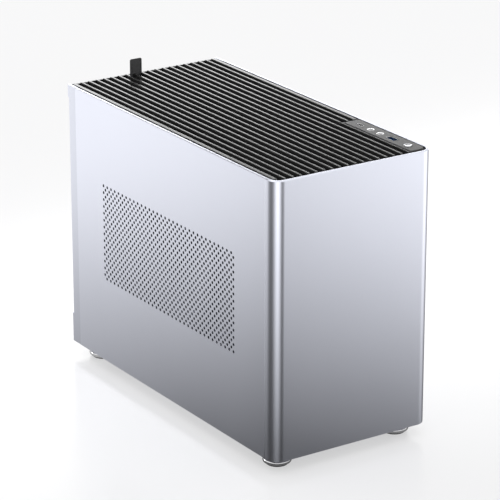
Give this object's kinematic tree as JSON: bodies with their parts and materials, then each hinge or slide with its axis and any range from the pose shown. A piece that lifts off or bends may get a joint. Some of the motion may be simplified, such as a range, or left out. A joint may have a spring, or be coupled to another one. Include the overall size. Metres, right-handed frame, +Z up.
{
  "type": "desktop computer tower",
  "caption": "Small desktop computer tower with a satin aluminium shell, vented lift-off side panels, slatted lid with pull tab, top control strip, ring feet, and working insides.",
  "frame": {"origin": "on the floor, under the middle of the body", "axes": "+Z up, front face towards -Y, control strip on the +X side"},
  "size_m": [0.17, 0.354, 0.289],
  "materials": {
    "shell_silver": "bead-blasted and clear anodised, satin",
    "lid_black": "black anodised, satin to semi-gloss",
    "frame_steel": "folded sheet, satin",
    "stud_steel": "turned, bright",
    "clip_plastic": "natural moulded",
    "screen_mesh": "fine woven mesh",
    "tab_fabric": "soft strap, matt",
    "strip_black": "black anodised, bevel cut bright",
    "button_metal": "spun bright",
    "spring_steel": "drawn wire",
    "black_plastic": "moulded, fine texture",
    "port_metal": "pressed and plated",
    "board_green": "solder mask",
    "board_black": "black solder mask",
    "foot_chrome": "polished",
    "foot_rubber": "matt",
    "brass": "turned",
    "screw_black": "black zinc",
    "copper": "machined copper",
    "fin_aluminium": "stamped sheet",
    "fan_grey": "moulded, smooth",
    "card_black": "moulded, satin",
    "supply_black": "powder coat, fine texture",
    "cable_black": "smooth sleeve"
  },
  "bodies": {
    "case": {"front_panel": "shell_silver", "rear_surround": "shell_silver", "rear_panel": "frame_steel", "bottom_panel": "shell_silver", "front_bulkhead": "frame_steel", "bulkhead_legs": "frame_steel", "top_rails": "frame_steel", "panel_clips": "clip_plastic", "strip_plate": "strip_black", "button_spring": "spring_steel", "power_switch": "black_plastic", "usb_a_port": "port_metal", "usb_c_port": "port_metal", "audio_jacks": "port_metal", "strip_board": "board_green", "feet": "foot_chrome", "foot_pads": "foot_rubber", "foot_screws": "screw_black", "board_tray": "frame_steel", "standoffs": "brass", "main_board": "board_black", "case_screws": "screw_black", "rear_ports": "port_metal", "port_shield": "port_metal", "processor": "port_metal", "cooler_base": "copper", "cooler_fins": "fin_aluminium", "cooler_fan_frame": "black_plastic", "memory_sticks": "board_black", "drive_module": "board_black", "regulator_heatsink": "fin_aluminium", "graphics_board": "board_black", "graphics_heatsink": "fin_aluminium", "graphics_shroud": "card_black", "graphics_backplate": "card_black", "slot_brackets": "port_metal", "supply_case": "supply_black", "supply_bracket": "frame_steel", "supply_inlet": "black_plastic", "rear_inlet": "black_plastic", "mains_link": "cable_black", "board_lead": "cable_black", "rear_fan_frame": "black_plastic", "floor_fan_frames": "black_plastic"},
    "left_panel": {"left_side_panel": "shell_silver", "left_panel_studs": "stud_steel"},
    "right_panel": {"right_side_panel": "shell_silver", "right_panel_studs": "stud_steel"},
    "lid": {"top_cover": "lid_black", "top_cover_studs": "stud_steel", "dust_screen": "screen_mesh", "pull_tab": "tab_fabric"},
    "power_key": {"power_button": "button_metal"},
    "supply_rocker": {"supply_switch": "black_plastic"},
    "cooler_spinner": {"cooler_fan_rotor": "fan_grey"},
    "rear_spinner": {"rear_fan_rotor": "fan_grey"},
    "floor_spinner_rear": {"floor_rotor_rear": "fan_grey"},
    "floor_spinner_front": {"floor_rotor_front": "fan_grey"},
    "card_spinner_rear": {"graphics_rotor_rear": "fan_grey"},
    "card_spinner_front": {"graphics_rotor_front": "fan_grey"},
    "supply_spinner": {"supply_rotor": "fan_grey"}
  },
  "joints": [
    {"name": "left_panel_pull", "type": "slide", "parent": "case", "child": "left_panel", "axis": [-1, 0, 0], "range_m": [0, 0.06]},
    {"name": "right_panel_pull", "type": "slide", "parent": "case", "child": "right_panel", "axis": [1, 0, 0], "range_m": [0, 0.06]},
    {"name": "lid_lift", "type": "slide", "parent": "case", "child": "lid", "axis": [0, 0, 1], "range_m": [0, 0.08]},
    {"name": "power_press", "type": "slide", "parent": "case", "child": "power_key", "axis": [0, 0, -1], "range_m": [0, 0.001], "stiffness_N_per_m": 800, "springref_m": -0.001, "deforming": ["button_spring"]},
    {"name": "supply_rock", "type": "hinge", "parent": "case", "child": "supply_rocker", "pos_m": [-0.043, -0.1015, 0.1448], "axis": [1, 0, 0], "range_deg": [0, 24]},
    {"name": "cooler_spin", "type": "hinge", "parent": "case", "child": "cooler_spinner", "pos_m": [-0.006, 0.0618, 0.1898], "axis": [0, -1, 0], "continuous": true},
    {"name": "rear_spin", "type": "hinge", "parent": "case", "child": "rear_spinner", "pos_m": [-0.025, 0.1688, 0.1978], "axis": [0, -1, 0], "continuous": true},
    {"name": "floor_spin_rear", "type": "hinge", "parent": "case", "child": "floor_spinner_rear", "pos_m": [0, 0.06, 0.02], "axis": [0, 0, 1], "continuous": true},
    {"name": "floor_spin_front", "type": "hinge", "parent": "case", "child": "floor_spinner_front", "pos_m": [0, -0.064, 0.02], "axis": [0, 0, 1], "continuous": true},
    {"name": "card_spin_rear", "type": "hinge", "parent": "case", "child": "card_spinner_rear", "pos_m": [-0.0018, 0.0978, 0.052], "axis": [0, 0, 1], "continuous": true},
    {"name": "card_spin_front", "type": "hinge", "parent": "case", "child": "card_spinner_front", "pos_m": [-0.0018, -0.0162, 0.052], "axis": [0, 0, 1], "continuous": true},
    {"name": "supply_spin", "type": "hinge", "parent": "case", "child": "supply_spinner", "pos_m": [-0.07, -0.093, 0.1908], "axis": [1, 0, 0], "continuous": true}
  ]
}
